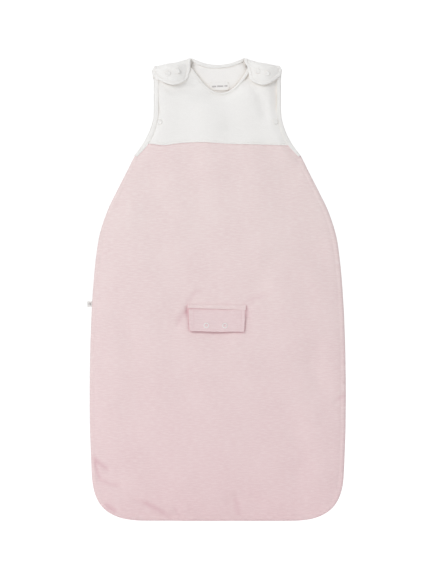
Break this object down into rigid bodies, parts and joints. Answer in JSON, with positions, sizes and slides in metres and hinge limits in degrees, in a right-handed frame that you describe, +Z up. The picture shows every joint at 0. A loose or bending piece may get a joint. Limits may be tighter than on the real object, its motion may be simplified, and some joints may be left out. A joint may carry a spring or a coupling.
{
  "type": "baby sleeping bag",
  "caption": "Sleeveless padded baby sleeping bag with snap shoulder tabs, round bound neck and armholes, covered harness slot and side-to-hem zip",
  "frame": {"origin": "midway between the two shoulder folds, where a hanger or the wearer's shoulders carry the bag", "axes": "+Z up towards the shoulders, +X across the width towards the zip side, -Y is the front with the harness flap"},
  "size_m": [0.503, 0.0678, 0.8995],
  "materials": {
    "body_jersey": "soft knitted cotton jersey, pale pink with faint horizontal flecks",
    "yoke_jersey": "soft knitted cotton jersey, off-white",
    "binding": "folded jersey binding, off-white",
    "lining": "smooth cotton jersey, off-white",
    "wadding": "loose fibre filling",
    "snap_plastic": "moulded snap, white, satin",
    "zip_slider": "coated die-cast slider, pale, satin",
    "zip_puller": "moulded puller, pale, satin",
    "zip_coil": "nylon coil, pale pink",
    "zip_tape": "woven polyester tape, pale pink",
    "label": "woven satin label, plain"
  },
  "bodies": {
    "root": {"front_outer_main": "body_jersey", "front_wadding_main": "wadding", "front_lining_main": "lining", "front_yoke": "yoke_jersey", "back_outer_panel": "body_jersey", "back_wadding": "wadding", "back_lining": "lining", "back_yoke": "yoke_jersey", "front_neck_binding": "binding", "back_neck_binding": "binding", "front_armhole_binding_left": "binding", "back_armhole_binding_left": "binding", "front_armhole_binding_right": "binding", "back_armhole_binding_right": "binding", "shoulder_fold_left": "yoke_jersey", "shoulder_snap_stud_left_inner": "snap_plastic", "shoulder_snap_stud_left_outer": "snap_plastic", "shoulder_fold_right": "yoke_jersey", "shoulder_snap_stud_right_inner": "snap_plastic", "shoulder_snap_stud_right_outer": "snap_plastic", "underarm_snap_front_left": "snap_plastic", "underarm_snap_back_left": "snap_plastic", "underarm_snap_front_right": "snap_plastic", "underarm_snap_back_right": "snap_plastic", "harness_welt": "body_jersey", "harness_snap_stud_left": "snap_plastic", "harness_snap_stud_right": "snap_plastic", "back_slot_binding": "body_jersey", "zip_tape_back": "zip_tape", "zip_coil_back": "zip_coil", "zip_tape_front_top": "zip_tape", "zip_tape_front_end": "zip_tape", "zip_coil_front_top": "zip_coil", "zip_coil_front_end": "zip_coil", "zip_guard": "lining", "zip_stop_upper": "zip_slider", "zip_stop_lower": "zip_slider", "side_label": "label", "neck_label": "label"},
    "front_corner": {"front_outer_corner": "body_jersey", "front_wadding_corner": "wadding", "front_lining_corner": "lining", "zip_tape_front": "zip_tape", "zip_coil_front": "zip_coil"},
    "flap": {"harness_flap": "body_jersey", "harness_snap_socket_left": "snap_plastic", "harness_snap_socket_right": "snap_plastic"},
    "tab_left": {"shoulder_tab_left": "yoke_jersey", "shoulder_snap_socket_left_inner": "snap_plastic", "shoulder_snap_socket_left_outer": "snap_plastic"},
    "tab_right": {"shoulder_tab_right": "yoke_jersey", "shoulder_snap_socket_right_inner": "snap_plastic", "shoulder_snap_socket_right_outer": "snap_plastic"},
    "slider_upper": {"zip_slider_upper": "zip_slider"},
    "puller_upper": {"zip_puller_upper": "zip_puller"},
    "slider_lower": {"zip_slider_lower": "zip_slider"},
    "puller_lower": {"zip_puller_lower": "zip_puller"}
  },
  "joints": [
    {"name": "tab_left_lift", "type": "hinge", "parent": "root", "child": "tab_left", "pos_m": [-0.09075, -0.01826, -0.00562], "axis": [-0.9804, 0.1214, -0.1549], "range_deg": [0, 165]},
    {"name": "tab_right_lift", "type": "hinge", "parent": "root", "child": "tab_right", "pos_m": [0.09075, -0.01826, -0.00562], "axis": [-0.9804, -0.1214, 0.1549], "range_deg": [0, 165]},
    {"name": "harness_flap_lift", "type": "hinge", "parent": "root", "child": "flap", "pos_m": [0, -0.0365, -0.4719], "axis": [-1, 0, 0], "range_deg": [0, 170]},
    {"name": "front_corner_fold", "type": "hinge", "parent": "root", "child": "front_corner", "pos_m": [0, -0.0375, -0.883], "axis": [-0.2841, 0, -0.9588], "range_deg": [0, 150]},
    {"name": "zip_upper_slide", "type": "slide", "parent": "root", "child": "slider_upper", "axis": [0.4511, 0, -0.8925], "range_m": [0, 0.075]},
    {"name": "zip_upper_puller", "type": "hinge", "parent": "slider_upper", "child": "puller_upper", "pos_m": [0.16647, 0, -0.18804], "axis": [0, -1, 0], "range_deg": [0, 100]},
    {"name": "zip_lower_slide", "type": "slide", "parent": "root", "child": "slider_lower", "axis": [1, 0, 0], "range_m": [0, 0.11]},
    {"name": "zip_lower_puller", "type": "hinge", "parent": "slider_lower", "child": "puller_lower", "pos_m": [-0.025, 0, -0.88355], "axis": [0, 1, 0], "range_deg": [0, 100]}
  ]
}
